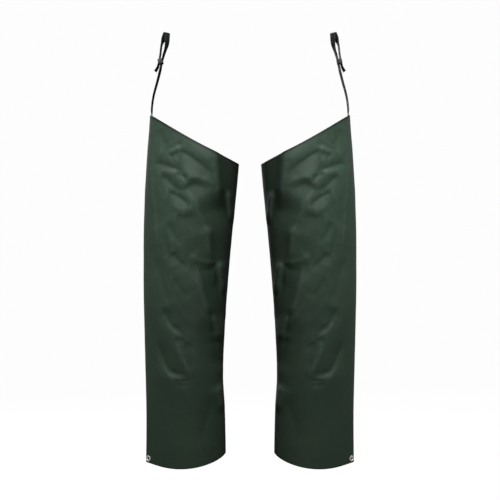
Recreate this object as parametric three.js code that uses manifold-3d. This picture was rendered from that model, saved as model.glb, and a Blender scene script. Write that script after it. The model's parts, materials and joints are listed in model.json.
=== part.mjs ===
// A pair of over-trouser chaps: two separate coated-fabric leg tubes, each hung from the wearer's
// belt by a webbing loop with a sliding keeper, and each with a metal eyelet at its hem.
//
// Millimetres, +Z up. The front faces -Y and +X is to the right of someone looking at the front.
// The origin is midway between the two belt loops, level with the inside of their tops, where the
// belt carries them. One side is modelled with +X pointing outwards; the left side is its mirror.

import * as THREE from "three";
import { mergeVertices } from "three/addons/utils/BufferGeometryUtils.js";
import Module from "manifold-3d";

const wasm = await Module();
wasm.setup();

// ---------------------------------------------------------------- driving dimensions

// Leg tube: the outer and inner edge seen from the front, half the depth, and how far the section
// is pinched into a crease at the outer seam (0 is a plain ellipse), at each height.
const LEG = [
  { z: -190, outer: 249, inner: 19, halfDepth: 90, crease: 0.1 },
  { z: -325, outer: 258, inner: 27, halfDepth: 90, crease: 0.12 },
  { z: -440, outer: 264, inner: 38, halfDepth: 87, crease: 0.16 },
  { z: -545, outer: 266, inner: 49, halfDepth: 83, crease: 0.2 },
  { z: -690, outer: 265, inner: 60, halfDepth: 76, crease: 0.28 },
  { z: -850, outer: 261, inner: 67, halfDepth: 66, crease: 0.4 },
  { z: -960, outer: 259, inner: 62, halfDepth: 57, crease: 0.52 },
  { z: -1095, outer: 260, inner: 60, halfDepth: 47, crease: 0.6 },
];
const CREASE_REACH = 0.42; // how far the pinch reaches, as a share of the half width
const CREASE_SWELL = 0.05; // how much the rest of the section swells to make up for it
const CORNER_Z = -205; // height of the outer top corner, where the strap leaves the leg
const TOP_SLOPE = 0.555; // fall of the top edge for each millimetre towards the inside leg
const TOP_SCOOP = 7; // how much further the top edge dips at the middle of the front and back
const HEM_Z = -1059; // height of the hem at the middle of the tube
const HEM_TILT = 0.12; // fall of the hem towards the outer seam
const HEM_FRONT_DROP = 26; // fall of the hem at the middle of the front, over the boot
const HEM_BACK_RISE = 10; // rise of the hem at the middle of the back

const FABRIC = 0.6; // coated fabric thickness
const TAPE = 0.3; // seam tape thickness
const LAYER_GAP = 0.4; // between one layer of fabric and the next
const SEAM_GAP = 0.5; // between the two panels along a seam
const HEM_DEPTH = 22; // depth of the top and bottom hem bands
const HEM_SETBACK = 1; // how far a hem band stays inside the panel's edge
const TAPE_SETBACK = 2; // from a hem band to the end of a seam tape
const PANEL_STEPS = 20; // facets across each panel
const PANEL_ROWS = 18; // facets down each panel

const WEBBING_WIDTH = 20;
const WEBBING = 1.8; // webbing thickness
const STRAP_LEAN = 12; // degrees that the strap leans towards the waist
const SLIDER_X = 223.5; // centre of the slider, outwards from the middle of the body
const SLIDER_Z = -71;
const STRAND_GAP = 7.2; // between the centrelines of the two strands in the slider
const LOOP_WIDTH = 17.2; // between the centrelines of the two strands at the belt
const SEWN_LENGTH = 36; // length of webbing sewn inside the leg
const PIVOT_RISE = 12; // height above the top edge at which the webbing bends as the leg swings
const STRAP_OVERLAP = 5; // how far the webbing's two halves run past that bend
const TAIL = 27; // length of the free end below the slider's centre
const TAIL_FLARE = 4.2; // how far the free end springs outwards

const SLIDER_TRAVEL_UP = 10;
const SLIDER_TRAVEL_DOWN = 6;
const SLIDER_HEIGHT = 13;
const SLIDER_WIDTH = 28;
const SLIDER_WALL = 1.2;
const SLOT_CLEARANCE = 0.4; // each side of a strand, through its thickness
const SLOT_SIDE_CLEARANCE = 0.6; // each side of a strand, across its width
const SLIDER_EDGE = 0.45; // chamfer on the slider's edges

const EYELET_FLANGE = 15; // outside diameter
const EYELET_HOLE = 7; // clear hole
const EYELET_WALL = 0.6;
const EYELET_HEIGHT = 1.2; // height of the rolled flange
const EYELET_INSET = 6.3; // from the outer edge of the leg, seen from the front
const EYELET_RISE = 10.5; // from the panel's cut edge up to the eyelet's centre
const WASHER = 0.5; // washer thickness
const ROUND_STEPS = 28;

const COLOUR = {
  fabric: 0x24382c,
  lining: 0x1b2a21,
  webbing: 0x14170f,
  plastic: 0x0d0f0d,
  nickel: 0xb8bab4,
};

// ---------------------------------------------------------------- small tools

const rad = (degrees) => (degrees * Math.PI) / 180;

// A smooth value between the leg's stations.
function legValue(key, z) {
  const last = LEG.length - 1;
  let i = 0;
  while (i < last - 1 && z < LEG[i + 1].z) i++;
  const t = THREE.MathUtils.clamp((LEG[i].z - z) / (LEG[i].z - LEG[i + 1].z), 0, 1);
  const before = LEG[Math.max(i - 1, 0)][key];
  const after = LEG[Math.min(i + 2, last)][key];
  const [from, to] = [LEG[i][key], LEG[i + 1][key]];
  const [slopeFrom, slopeTo] = [(to - before) / 2, (after - from) / 2];
  return (
    from * (1 + 2 * t) * (1 - t) ** 2 +
    slopeFrom * t * (1 - t) ** 2 +
    to * t ** 2 * (3 - 2 * t) +
    slopeTo * t ** 2 * (t - 1)
  );
}

// The section at one height, as shares of its half width and half depth: angle 0 is the outer
// seam, a quarter turn the middle of the front.
function sectionShare(angle, crease) {
  const pinch = crease * Math.exp((Math.cos(angle) - 1) / CREASE_REACH);
  return [Math.cos(angle), Math.sin(angle) * (1 - pinch) * (1 + CREASE_SWELL * crease)];
}

// A point on the wall. inset moves it in from the outside, but never across the seam's gap.
function wallPoint(angle, z, inset = 0) {
  const halfWidth = (legValue("outer", z) - legValue("inner", z)) / 2;
  const halfDepth = legValue("halfDepth", z);
  const crease = legValue("crease", z);
  const [across, deep] = sectionShare(angle, crease);
  const step = 0.001;
  const [x1, y1] = sectionShare(angle - step, crease);
  const [x2, y2] = sectionShare(angle + step, crease);
  const normal = new THREE.Vector2((y2 - y1) * halfDepth, (x1 - x2) * halfWidth).normalize();
  const side = Math.sign(deep);
  const depth = halfDepth * deep - inset * normal.y;
  return new THREE.Vector3(
    (legValue("outer", z) + legValue("inner", z)) / 2 + halfWidth * across - inset * normal.x,
    inset ? -side * Math.max(side * depth, SEAM_GAP / 2) : -depth,
    z,
  );
}

// Angles that share the outline out evenly between the two seams, from outer seam to inner.
const FINE = 240;
function evenAngles(z, steps) {
  const length = [0];
  let last = wallPoint(0, z);
  for (let i = 1; i <= FINE; i++) {
    const next = wallPoint((Math.PI * i) / FINE, z);
    length.push(length[i - 1] + next.distanceTo(last));
    last = next;
  }
  const angles = [];
  for (let k = 0, i = 0; k <= steps; k++) {
    const wanted = (length[FINE] * k) / steps;
    while (i < FINE - 1 && length[i + 1] < wanted) i++;
    const share = (wanted - length[i]) / (length[i + 1] - length[i]);
    angles.push((Math.PI * (i + share)) / FINE);
  }
  const halfGap = SEAM_GAP / 2 / legValue("halfDepth", z);
  angles[0] = Math.asin(halfGap / (1 - legValue("crease", z)));
  angles[steps] = Math.PI - Math.asin(halfGap);
  return angles;
}

const topHeight = (p) =>
  CORNER_Z -
  TOP_SLOPE * (legValue("outer", CORNER_Z) - p.x) -
  TOP_SCOOP * (p.y / legValue("halfDepth", p.z)) ** 2;
const hemHeight = (p) => {
  const middle = (legValue("outer", HEM_Z) + legValue("inner", HEM_Z)) / 2;
  const deep = Math.abs(p.y / legValue("halfDepth", HEM_Z)) ** 1.4;
  return HEM_Z - HEM_TILT * (p.x - middle) + deep * (p.y < 0 ? -HEM_FRONT_DROP : HEM_BACK_RISE);
};

// A point on the wall: step counts facets from the outer seam (front positive, back negative),
// and height(p) gives the level, which depends on where on the wall the point is.
const ANGLE_CACHE = new Map();
function wallAt(step, height, inset) {
  let z = height(new THREE.Vector3(0, 0, HEM_Z / 2));
  let p;
  for (let pass = 0; pass < 12; pass++) {
    const key = z.toFixed(3);
    if (!ANGLE_CACHE.has(key)) ANGLE_CACHE.set(key, evenAngles(z, PANEL_STEPS));
    const angle = ANGLE_CACHE.get(key)[Math.abs(step)];
    p = wallPoint(step < 0 || Object.is(step, -0) ? -angle : angle, z, inset);
    z = height(p);
  }
  return p;
}

// The height of one row of facets. The rows near the top edge and the hem are set at the edges of
// the hem bands and seam tapes, so that every layer inside shares the panels' facets.
const EDGE_ROWS = [0, HEM_SETBACK, HEM_SETBACK + HEM_DEPTH, HEM_SETBACK + HEM_DEPTH + TAPE_SETBACK];
const FIRST_TAPE_ROW = EDGE_ROWS.length - 1;
const LAST_TAPE_ROW = PANEL_ROWS - FIRST_TAPE_ROW;
const rowHeight = (row) => (p) => {
  if (row < FIRST_TAPE_ROW) return topHeight(p) - EDGE_ROWS[row];
  if (row > LAST_TAPE_ROW) return hemHeight(p) + EDGE_ROWS[PANEL_ROWS - row];
  const share = (row - FIRST_TAPE_ROW) / (LAST_TAPE_ROW - FIRST_TAPE_ROW);
  const edge = EDGE_ROWS[FIRST_TAPE_ROW];
  return (topHeight(p) - edge) * (1 - share) + (hemHeight(p) + edge) * share;
};

// A closed solid from two grids of points, point(column, row, face) with face 0 outside and 1
// inside. Facets are split along the other diagonal where turned(column) says so, which keeps two
// layers parallel when their columns run opposite ways.
function sheetSolid(columns, rows, point, turned, closedRing = false) {
  const across = closedRing ? columns : columns + 1;
  const position = [];
  for (const face of [0, 1])
    for (let c = 0; c < across; c++)
      for (let r = 0; r <= rows; r++) position.push(...point(c, r, face).toArray());
  const at = (c, r, face) => (face * across + (c % across)) * (rows + 1) + r;
  const index = [];
  const quad = (a, b, c, d) => index.push(a, b, c, a, c, d);
  for (let c = 0; c < columns; c++) {
    for (let r = 0; r < rows; r++) {
      const [a, b, d, e] = [[c, r], [c, r + 1], [c + 1, r + 1], [c + 1, r]];
      const round = turned(c) ? [b, d, e, a] : [a, b, d, e];
      quad(...round.map(([x, y]) => at(x, y, 0)));
      const back = turned(c) ? [b, a, e, d] : [a, e, d, b];
      quad(...back.map(([x, y]) => at(x, y, 1)));
    }
    quad(at(c, 0, 0), at(c + 1, 0, 0), at(c + 1, 0, 1), at(c, 0, 1));
    quad(at(c, rows, 0), at(c, rows, 1), at(c + 1, rows, 1), at(c + 1, rows, 0));
  }
  if (!closedRing)
    for (let r = 0; r < rows; r++) {
      quad(at(0, r, 0), at(0, r, 1), at(0, r + 1, 1), at(0, r + 1, 0));
      quad(at(columns, r, 0), at(columns, r + 1, 0), at(columns, r + 1, 1), at(columns, r, 1));
    }
  return facingOut(
    new THREE.BufferGeometry()
      .setAttribute("position", new THREE.Float32BufferAttribute(position, 3))
      .setIndex(index),
  );
}

function toManifold(geometry) {
  const bare = geometry.clone();
  for (const name of ["normal", "uv"]) bare.deleteAttribute(name);
  const merged = mergeVertices(bare, 1e-4);
  return new wasm.Manifold(
    new wasm.Mesh({
      numProp: 3,
      vertProperties: merged.attributes.position.array,
      triVerts: new Uint32Array(merged.index.array),
    }),
  );
}

function fromManifold(solid) {
  const { vertProperties, triVerts } = solid.getMesh();
  return new THREE.BufferGeometry()
    .setAttribute("position", new THREE.BufferAttribute(vertProperties, 3))
    .setIndex(new THREE.BufferAttribute(triVerts, 1));
}

// The same surface with its faces turned to point outwards.
function facingOut(geometry) {
  if (toManifold(geometry).volume() > 0) return geometry;
  const index = geometry.index.array;
  for (let i = 0; i < index.length; i += 3) [index[i + 1], index[i + 2]] = [index[i + 2], index[i + 1]];
  return geometry;
}

// ---------------------------------------------------------------- leg tube

const STACK = {
  panel: [0, FABRIC],
  tape: [FABRIC + LAYER_GAP, FABRIC + LAYER_GAP + TAPE],
  band: [FABRIC + LAYER_GAP, 2 * FABRIC + LAYER_GAP],
};

function panel(front) {
  return sheetSolid(
    PANEL_STEPS,
    PANEL_ROWS,
    (c, r, face) => wallAt(front ? c : -c, rowHeight(r), STACK.panel[face]),
    () => false,
  );
}

// A strip inside one seam, a facet wide on each side of it, between the two hem bands.
function seamTape(seamStep) {
  const columns =
    seamStep === 0 ? [-1, -0, 0, 1] : [seamStep - 1, seamStep, -seamStep, 1 - seamStep];
  return sheetSolid(
    columns.length - 1,
    LAST_TAPE_ROW - FIRST_TAPE_ROW,
    (c, r, face) => wallAt(columns[c], rowHeight(FIRST_TAPE_ROW + r), STACK.tape[face]),
    (c) => (seamStep === 0 ? c < 1 : c > 1),
  );
}

// A band of fabric round the inside of the top edge or the hem, from one panel row to the next.
function hemBand(firstRow) {
  const steps = [];
  for (let s = 0; s <= PANEL_STEPS; s++) steps.push(s);
  for (let s = PANEL_STEPS; s >= 0; s--) steps.push(s === 0 ? -0 : -s);
  return sheetSolid(
    steps.length,
    1,
    (c, r, face) => wallAt(steps[c], rowHeight(firstRow + r), STACK.band[face]),
    (c) => c > PANEL_STEPS,
    true,
  );
}

// ---------------------------------------------------------------- hem eyelet

// Where the eyelet sits on the wall and which way it faces.
function eyeletPlace() {
  let z = HEM_Z;
  let angle = 0;
  for (let pass = 0; pass < 20; pass++) {
    const half = (legValue("outer", z) - legValue("inner", z)) / 2;
    angle = Math.acos(1 - EYELET_INSET / half);
    z = hemHeight(wallPoint(angle, z)) + EYELET_RISE;
  }
  const small = 0.02;
  const along = wallPoint(angle + small, z).sub(wallPoint(angle - small, z));
  const normal = new THREE.Vector3(-along.y, along.x, 0).normalize();
  if (normal.x < 0) normal.negate();
  const place = new THREE.Object3D();
  place.position.copy(wallPoint(angle, z));
  place.quaternion.setFromUnitVectors(new THREE.Vector3(0, 0, 1), normal);
  return place;
}

// How far the faceted wall falls away from a flat ring of this radius on it.
function wallDrop(place, radius) {
  const z = place.position.z;
  const normal = new THREE.Vector3(0, 0, 1).applyQuaternion(place.quaternion);
  const corners = evenAngles(z, PANEL_STEPS).map((angle) => wallPoint(angle, z));
  let drop = 0;
  for (let k = 0; k < PANEL_STEPS; k++)
    for (let i = 0; i <= FINE; i++) {
      const offset = corners[k].clone().lerp(corners[k + 1], i / FINE).sub(place.position);
      if (offset.length() <= radius) drop = Math.max(drop, -offset.dot(normal));
    }
  return drop;
}

function latheZ(profile) {
  return new THREE.LatheGeometry(
    profile.map(([r, z]) => new THREE.Vector2(r, z)),
    ROUND_STEPS,
  ).rotateX(Math.PI / 2);
}

// The level of the washer's outer side, clear of both layers of fabric.
const washerSeat = (place) => -(2 * FABRIC + 2 * LAYER_GAP + wallDrop(place, EYELET_FLANGE / 2));

// One stamped piece: a rolled flange outside the fabric and a barrel through it.
function eyelet(place) {
  const hole = EYELET_HOLE / 2;
  const flange = EYELET_FLANGE / 2;
  const inside = washerSeat(place) - WASHER - LAYER_GAP;
  const seat = LAYER_GAP;
  return latheZ([
    [hole, inside],
    [hole + EYELET_WALL, inside],
    [hole + EYELET_WALL, seat],
    [flange - 0.3, seat],
    [flange, seat + 0.3],
    [flange - 0.35, seat + 0.8 * EYELET_HEIGHT],
    [flange - 1.2, seat + EYELET_HEIGHT],
    [hole + 1.1, seat + EYELET_HEIGHT],
    [hole + 0.3, seat + 0.8 * EYELET_HEIGHT],
    [hole, seat + 0.3 * EYELET_HEIGHT],
    [hole, inside],
  ]);
}

function eyeletWasher(place) {
  const bore = EYELET_HOLE / 2 + EYELET_WALL + LAYER_GAP;
  const flange = EYELET_FLANGE / 2;
  const top = washerSeat(place);
  return latheZ([
    [bore, top - WASHER],
    [flange, top - WASHER],
    [flange, top],
    [bore, top],
    [bore, top - WASHER],
  ]);
}

function cutForEyelet(geometry, place) {
  const radius = EYELET_HOLE / 2 + EYELET_WALL + LAYER_GAP;
  const drill = new THREE.CylinderGeometry(radius, radius, EYELET_FLANGE, ROUND_STEPS);
  drill.rotateX(Math.PI / 2);
  place.updateMatrix();
  drill.applyMatrix4(place.matrix);
  return fromManifold(toManifold(geometry).subtract(toManifold(drill)));
}

// ---------------------------------------------------------------- belt strap

// How far the faceted wall falls back from the outer seam's edge at a distance to either side.
function seamDrop(distance, z) {
  const corners = evenAngles(z, PANEL_STEPS).map((angle) => wallPoint(angle, z));
  const k = corners.findIndex((corner) => Math.abs(corner.y) >= distance);
  const [before, after] = [corners[k - 1], corners[k]];
  const share = (distance - Math.abs(before.y)) / (Math.abs(after.y) - Math.abs(before.y));
  return legValue("outer", z) - THREE.MathUtils.lerp(before.x, after.x, share);
}

const SEWN_X =
  legValue("outer", CORNER_Z) -
  STACK.band[1] -
  LAYER_GAP -
  seamDrop(WEBBING_WIDTH / 2, CORNER_Z) -
  WEBBING / 2;
const PIVOT = new THREE.Vector3(SEWN_X + WEBBING + LAYER_GAP, 0, CORNER_Z + PIVOT_RISE);

// The strap's own frame: u points outwards through the webbing, w up along it, from the slider.
const upStrap = (u, w) => {
  const [c, s] = [Math.cos(rad(STRAP_LEAN)), Math.sin(rad(STRAP_LEAN))];
  return new THREE.Vector2(SLIDER_X + u * c - w * s, SLIDER_Z + u * s + w * c);
};

// The centreline seen from the front: up from the leg, through the slider, over the belt and
// back down through the slider to the free end. The strands run straight where the slider slides.
function strapCentreline() {
  const strand = STRAND_GAP / 2;
  const loop = LOOP_WIDTH / 2;
  const straightUp = SLIDER_HEIGHT / 2 + SLIDER_TRAVEL_UP + 1;
  const straightDown = -(SLIDER_HEIGHT / 2 + SLIDER_TRAVEL_DOWN + 1);
  const top = (0 - SLIDER_Z) / Math.cos(rad(STRAP_LEAN)) + WEBBING / 2 - loop;
  const points = [
    new THREE.Vector2(PIVOT.x, PIVOT.z - STRAP_OVERLAP),
    new THREE.Vector2(PIVOT.x, PIVOT.z + 2),
    new THREE.Vector2(PIVOT.x - 0.1, PIVOT.z + 0.65 * WEBBING_WIDTH),
    upStrap(-1.6, -96),
    upStrap(-3.0, -60),
    upStrap(-strand, straightDown - 12),
    upStrap(-strand, straightDown),
    upStrap(-strand, 0),
    upStrap(-strand, straightUp),
    upStrap(-0.55 * loop - 0.2 * strand, straightUp + 8),
    upStrap(-0.85 * loop, straightUp + 20),
    upStrap(-loop, top - 8),
  ];
  const arc = 10;
  for (let i = 0; i <= arc; i++) {
    const turn = Math.PI * (1 - i / arc);
    points.push(upStrap(loop * Math.cos(turn), top + loop * Math.sin(turn)));
  }
  points.push(
    upStrap(loop, top - 8),
    upStrap(0.85 * loop, straightUp + 20),
    upStrap(0.55 * loop + 0.2 * strand, straightUp + 8),
    upStrap(strand, straightUp),
    upStrap(strand, 0),
    upStrap(strand, straightDown),
    upStrap(strand + 0.25 * TAIL_FLARE, straightDown - 5),
    upStrap(strand + TAIL_FLARE, -TAIL),
  );
  return points;
}

// Webbing from a centreline: an outline of its thickness, extruded across its width.
function webbing(points) {
  const curve = new THREE.CatmullRomCurve3(
    points.map((p) => new THREE.Vector3(p.x, p.y, 0)),
    false,
    "centripetal",
  );
  const samples = 3 * points.length;
  const sides = [[], []];
  for (let i = 0; i <= samples; i++) {
    const p = curve.getPoint(i / samples);
    const t = curve.getTangent(i / samples);
    sides.forEach((side, k) => {
      const offset = (k ? -1 : 1) * (WEBBING / 2);
      side.push(new THREE.Vector2(p.x - t.y * offset, p.y + t.x * offset));
    });
  }
  const outline = new THREE.Shape([...sides[0], ...sides[1].reverse()]);
  return new THREE.ExtrudeGeometry(outline, { depth: WEBBING_WIDTH, bevelEnabled: false })
    .translate(0, 0, -WEBBING_WIDTH / 2)
    .rotateX(Math.PI / 2);
}

const beltStrap = () => webbing(strapCentreline());

function strapSewnEnd() {
  const top = PIVOT.z + STRAP_OVERLAP;
  const bottom = CORNER_Z - SEWN_LENGTH;
  return new THREE.BoxGeometry(WEBBING, WEBBING_WIDTH, top - bottom).translate(
    SEWN_X,
    0,
    (top + bottom) / 2,
  );
}

// A square of fabric that covers the sewn webbing inside the leg.
function strapPatch() {
  const margin = 6;
  const width = WEBBING_WIDTH + 2 * margin;
  const height = SEWN_LENGTH + margin;
  const x = SEWN_X - WEBBING / 2 - LAYER_GAP - FABRIC / 2;
  const top = CORNER_Z - 4;
  return new THREE.BoxGeometry(FABRIC, width, height).translate(x, 0, top - height / 2);
}

// A moulded keeper with two slots: it holds the strands together and sets the loop's size.
function slider() {
  const slot = WEBBING + 2 * SLOT_CLEARANCE;
  const slotLength = WEBBING_WIDTH + 2 * SLOT_SIDE_CLEARANCE;
  const depth = STRAND_GAP + slot + 2 * SLIDER_WALL;
  const corner = 2.2;
  const [x, y] = [depth / 2, SLIDER_WIDTH / 2];
  const outline = new THREE.Shape();
  outline.absarc(x - corner, -y + corner, corner, -Math.PI / 2, 0, false);
  outline.absarc(x - corner, y - corner, corner, 0, Math.PI / 2, false);
  outline.absarc(-x + corner, y - corner, corner, Math.PI / 2, Math.PI, false);
  outline.absarc(-x + corner, -y + corner, corner, Math.PI, 1.5 * Math.PI, false);
  let body = toManifold(
    new THREE.ExtrudeGeometry(outline, {
      depth: SLIDER_HEIGHT - 2 * SLIDER_EDGE,
      bevelThickness: SLIDER_EDGE,
      bevelSize: SLIDER_EDGE,
      bevelOffset: -SLIDER_EDGE,
      bevelSegments: 1,
      curveSegments: 5,
    }).translate(0, 0, -SLIDER_HEIGHT / 2 + SLIDER_EDGE),
  );
  for (const side of [-1, 1]) {
    const hole = new THREE.BoxGeometry(slot, slotLength, 2 * SLIDER_HEIGHT);
    body = body.subtract(toManifold(hole.translate((side * STRAND_GAP) / 2, 0, 0)));
  }
  return fromManifold(body);
}

// ---------------------------------------------------------------- assembly

const MATERIAL = {
  fabric: new THREE.MeshStandardMaterial({ color: COLOUR.fabric, roughness: 0.42, metalness: 0 }),
  lining: new THREE.MeshStandardMaterial({ color: COLOUR.lining, roughness: 0.7, metalness: 0 }),
  webbing: new THREE.MeshStandardMaterial({ color: COLOUR.webbing, roughness: 0.8, metalness: 0 }),
  plastic: new THREE.MeshStandardMaterial({ color: COLOUR.plastic, roughness: 0.35, metalness: 0 }),
  nickel: new THREE.MeshStandardMaterial({ color: COLOUR.nickel, roughness: 0.3, metalness: 1 }),
};

function side(name) {
  const group = new THREE.Group();
  const add = (piece, geometry, material) => {
    const mesh = new THREE.Mesh(geometry, MATERIAL[material]);
    mesh.name = `${name}_${piece}`;
    group.add(mesh);
    return mesh;
  };
  const place = eyeletPlace();
  add("front_panel", cutForEyelet(panel(true), place), "fabric");
  add("back_panel", panel(false), "fabric");
  add("outer_seam_tape", seamTape(0), "lining");
  add("inner_seam_tape", seamTape(PANEL_STEPS), "lining");
  add("top_hem_band", hemBand(1), "fabric");
  add("bottom_hem_band", cutForEyelet(hemBand(PANEL_ROWS - 2), place), "fabric");
  for (const [piece, geometry] of [["eyelet", eyelet(place)], ["eyelet_washer", eyeletWasher(place)]]) {
    const mesh = add(piece, geometry, "nickel");
    mesh.position.copy(place.position);
    mesh.quaternion.copy(place.quaternion);
  }
  add("strap_patch", strapPatch(), "fabric");
  add("strap_sewn_end", strapSewnEnd(), "webbing");
  add("belt_strap", beltStrap(), "webbing");
  const keeper = add("slider", slider(), "plastic");
  keeper.position.set(SLIDER_X, 0, SLIDER_Z);
  keeper.rotation.y = -rad(STRAP_LEAN);
  return group;
}

const chaps = new THREE.Group();
const right = side("right");
const left = side("left");
left.scale.x = -1;
chaps.add(left, right);

export default chaps;
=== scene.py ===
"""Looks for a pair of coated-fabric chaps hung from a belt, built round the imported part.

Metres, in the part's own frame: +Z up, -Y the front. One side is shaped with +X outwards and
mirrored for the other.
"""

import json
import math

import bpy
import bmesh
import numpy as np
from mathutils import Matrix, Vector


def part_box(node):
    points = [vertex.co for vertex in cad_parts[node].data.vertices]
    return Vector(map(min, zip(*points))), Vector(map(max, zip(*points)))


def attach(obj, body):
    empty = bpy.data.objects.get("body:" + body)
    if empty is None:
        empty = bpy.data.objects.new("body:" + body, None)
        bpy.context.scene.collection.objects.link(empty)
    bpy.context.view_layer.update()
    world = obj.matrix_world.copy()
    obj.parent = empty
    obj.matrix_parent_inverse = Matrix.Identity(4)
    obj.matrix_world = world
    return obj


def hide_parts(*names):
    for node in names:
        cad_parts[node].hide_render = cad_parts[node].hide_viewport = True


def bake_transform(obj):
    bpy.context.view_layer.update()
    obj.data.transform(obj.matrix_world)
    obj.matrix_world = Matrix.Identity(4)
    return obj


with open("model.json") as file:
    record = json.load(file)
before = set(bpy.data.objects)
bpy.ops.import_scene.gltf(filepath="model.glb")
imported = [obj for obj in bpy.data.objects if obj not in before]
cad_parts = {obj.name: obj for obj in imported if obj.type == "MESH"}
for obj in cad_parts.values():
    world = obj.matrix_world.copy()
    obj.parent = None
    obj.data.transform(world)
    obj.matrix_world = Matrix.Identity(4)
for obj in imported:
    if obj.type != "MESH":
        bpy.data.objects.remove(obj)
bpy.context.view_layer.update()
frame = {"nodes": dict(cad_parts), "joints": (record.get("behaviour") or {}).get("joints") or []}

MM = 0.001
SIDES = {"left": -1, "right": 1}

# ---------------------------------------------------------------- leg tube, as in the part

# Heights, outer and inner edge, half depth, and how far the outer seam is pinched to a crease.
STATIONS = np.array(
    [
        (-190, 249, 19, 90, 0.1),
        (-325, 258, 27, 90, 0.12),
        (-440, 264, 38, 87, 0.16),
        (-545, 266, 49, 83, 0.2),
        (-690, 265, 60, 76, 0.28),
        (-850, 261, 67, 66, 0.4),
        (-960, 259, 62, 57, 0.52),
        (-1095, 260, 60, 47, 0.6),
    ],
    float,
)
CREASE_REACH, CREASE_SWELL = 0.42, 0.05
CORNER_Z, TOP_SLOPE, TOP_SCOOP, BACK_SCOOP = -205.0, 0.555, 6.5, 3.0
HEM_Z, HEM_TILT, HEM_FRONT_DROP, HEM_BACK_RISE = -1059.0, 0.12, 26.0, 10.0
FABRIC = 0.7  # thickness of the visible cloth
HEM_DEPTH = 20.0

HALF_WEBBING, HALF_THICKNESS = 10.0, 0.9
STRAND = 3.6  # from the keeper's centre to each of the two strands that pass through it
KEEPER = (12.2, 28.0, 13.0)
SLOT = (2.6, 21.2, 40.0)  # cut through the keeper for each strand
GRIP_RIB = (0.9, 19.0, 0.9)

EYELET_RISE = 1.3  # of the flange's face above the cloth
PUNCH = 5.3  # radius within which the cloth's cells are punched out, all under the flange

COLUMNS = 112  # cells across each panel
ROWS = 300  # cells down each panel
CELL = 2.9  # size of a cell, near enough for what is laid on the cloth
TAPE_WIDTH, TAPE_THICKNESS = 20, 0.25
BOX_WIDTH, BOX_HEIGHT = 17, 30  # the crossed box of stitches over the sewn webbing


def station(z):
    """Outer edge, inner edge, half depth and pinch of the outer seam at heights z."""
    heights = -STATIONS[:, 0]
    at = np.clip(-z, heights[0], heights[-1])
    i = np.clip(np.searchsorted(heights, at, side="right") - 1, 0, len(heights) - 2)
    t = ((at - heights[i]) / (heights[i + 1] - heights[i]))[..., None]
    values = STATIONS[:, 1:]
    before, after = values[np.maximum(i - 1, 0)], values[np.minimum(i + 2, len(values) - 1)]
    start, end = values[i], values[i + 1]
    slope_start, slope_end = (end - before) / 2, (after - start) / 2
    curve = (
        start * (1 + 2 * t) * (1 - t) ** 2
        + slope_start * t * (1 - t) ** 2
        + end * t**2 * (3 - 2 * t)
        + slope_end * t**2 * (t - 1)
    )
    return np.moveaxis(curve, -1, 0)


def section(angle, z):
    """Points of the tube's outside: angle 0 at the outer seam, a quarter turn at the front."""
    outer, inner, depth, crease = station(z)
    c, s = np.cos(angle), np.sin(angle)
    pinch = crease * np.exp((c - 1) / CREASE_REACH)
    x = (outer + inner) / 2 + (outer - inner) / 2 * c
    y = -depth * s * (1 - pinch) * (1 + CREASE_SWELL * crease)
    return np.stack([x, y, np.broadcast_to(z, x.shape)], -1)


def even_angles(heights, steps):
    """For each height, the angles that share the half outline out evenly."""
    fine = np.linspace(0, math.pi, 721)
    angles = []
    for z in heights:
        line = section(fine, np.full_like(fine, z))
        run = np.concatenate([[0], np.cumsum(np.linalg.norm(np.diff(line, axis=0), axis=1))])
        angles.append(np.interp(np.linspace(0, run[-1], steps + 1), run, fine))
    return np.array(angles)


def top_height(p):
    """Height of the slanted top edge over each point of the tube."""
    outer = station(np.array([CORNER_Z]))[0][0]
    scoop = np.where(p[..., 1] < 0, TOP_SCOOP, BACK_SCOOP) * (p[..., 1] / 90) ** 2
    return CORNER_Z - TOP_SLOPE * (outer - p[..., 0]) - scoop


def hem_height(p):
    """Height of the hem at each point of the tube."""
    outer, inner, depth, _ = (v[0] for v in station(np.array([HEM_Z])))
    deep = np.abs(p[..., 1] / depth) ** 1.4
    drop = np.where(p[..., 1] < 0, -HEM_FRONT_DROP, HEM_BACK_RISE) * deep
    return HEM_Z - HEM_TILT * (p[..., 0] - (outer + inner) / 2) + drop


def tube():
    """The undisturbed tube as a closed grid, rows down and columns round from the outer seam."""
    heights = np.linspace(-150, -1120, 60)
    table = even_angles(heights, COLUMNS)
    share = np.linspace(0, 1, ROWS + 1)[:, None]
    columns = list(range(COLUMNS + 1)) + list(range(COLUMNS - 1, 0, -1))
    z = np.full((ROWS + 1, 2 * COLUMNS), -600.0)
    for _ in range(14):
        angle = np.empty_like(z)
        for place, column in enumerate(columns):
            turn = np.interp(-z[:, place], -heights, table[:, column])
            angle[:, place] = turn if place <= COLUMNS else -turn
        points = section(angle, z)
        z = top_height(points) * (1 - share) + hem_height(points) * share
    return section(angle, z)


def normals(grid):
    """Outward unit normals of a closed grid."""
    across = np.roll(grid, -1, 1) - np.roll(grid, 1, 1)
    down = np.gradient(grid, axis=0)
    n = np.cross(across, down)
    n /= np.linalg.norm(n, axis=-1, keepdims=True) + 1e-12
    middle = grid.mean(axis=1, keepdims=True)
    return n * np.sign(((grid - middle) * n).sum(-1).mean())


# ---------------------------------------------------------------- folds

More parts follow.
